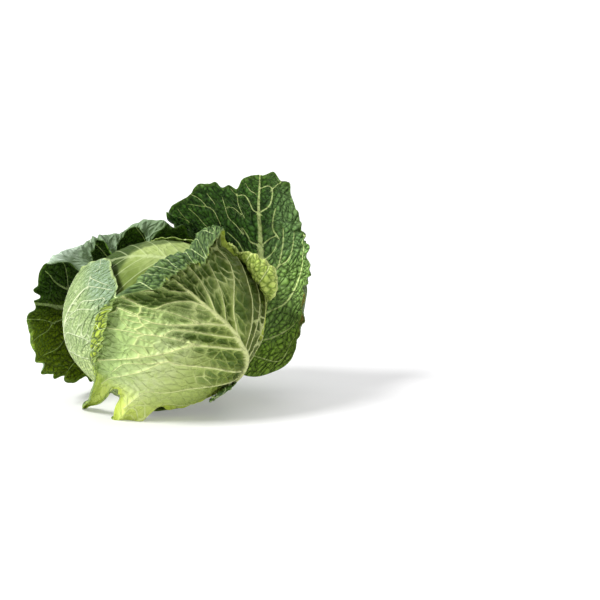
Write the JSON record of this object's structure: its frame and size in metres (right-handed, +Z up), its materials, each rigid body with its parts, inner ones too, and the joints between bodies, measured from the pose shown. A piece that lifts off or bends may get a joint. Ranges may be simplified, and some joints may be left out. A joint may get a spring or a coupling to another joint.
{
  "type": "savoy cabbage",
  "caption": "Round leafy vegetable head lying on its side, with crinkled wrapper leaves around a closed heart, loose dark outer leaves behind and a short cut stem.",
  "frame": {"origin": "middle of the bounding box, on the table the cabbage lies on", "axes": "+Z up, -Y towards the viewer who sees the large front wrapper leaf, +X to the right, along the longest spread of the outer leaves"},
  "size_m": [0.259, 0.2028, 0.211],
  "materials": {
    "heart": "satin fresh leaf",
    "stem": "matt cut stalk",
    "crown_leaf": "satin fresh leaf",
    "rear_wrapper_leaf": "satin fresh leaf",
    "left_wrapper_leaf": "satin fresh leaf",
    "front_wrapper_leaf": "satin fresh leaf",
    "right_wrapper_leaf": "satin fresh leaf",
    "back_left_leaf": "waxy fresh leaf",
    "back_right_leaf": "waxy fresh leaf",
    "under_leaf": "waxy fresh leaf"
  },
  "bodies": {
    "root": {"heart": "heart", "stem": "stem", "crown_leaf": "crown_leaf", "rear_wrapper_leaf": "rear_wrapper_leaf", "left_wrapper_leaf": "left_wrapper_leaf", "front_wrapper_leaf": "front_wrapper_leaf", "right_wrapper_leaf": "right_wrapper_leaf", "back_left_leaf": "back_left_leaf", "back_right_leaf": "back_right_leaf", "under_leaf": "under_leaf"}
  },
  "joints": []
}
